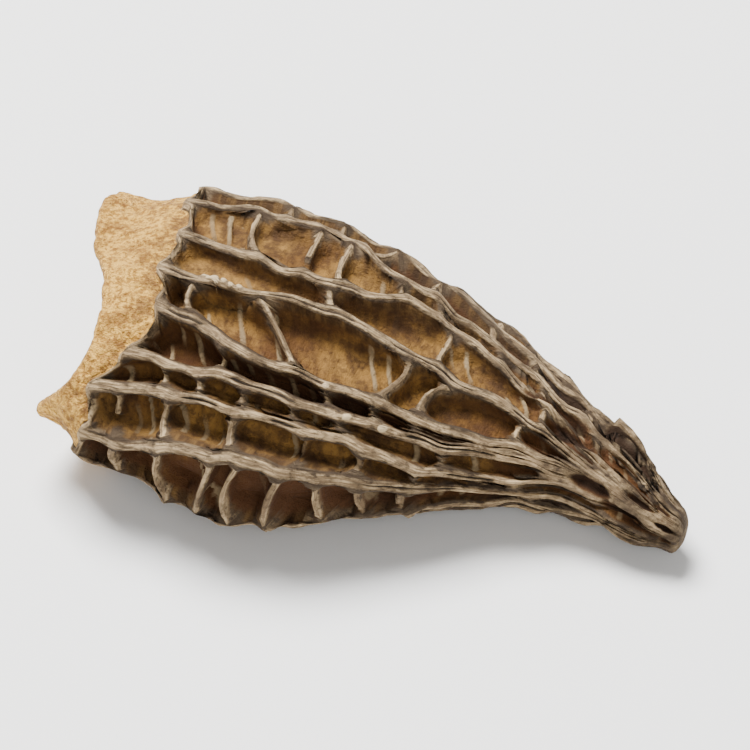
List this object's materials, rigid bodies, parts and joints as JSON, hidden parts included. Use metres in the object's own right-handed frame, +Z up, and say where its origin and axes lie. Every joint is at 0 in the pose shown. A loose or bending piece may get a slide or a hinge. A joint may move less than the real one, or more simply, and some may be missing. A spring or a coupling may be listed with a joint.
{
  "type": "morel mushroom",
  "caption": "Dried morel lying on its side: a pointed cap raised into a net of ribs and pits, on a short stem cut open to its hollow inside.",
  "frame": {"origin": "middle of the bounding box's bottom face, on the surface the mushroom lies on", "axes": "+X from the stem's cut mouth to the cap's tip, +Y across the width, +Z up through the flattened thickness"},
  "size_m": [0.048, 0.0274, 0.0157],
  "materials": {
    "fruit_body": "matte"
  },
  "bodies": {
    "root": {"fruit_body": "fruit_body"}
  },
  "joints": []
}
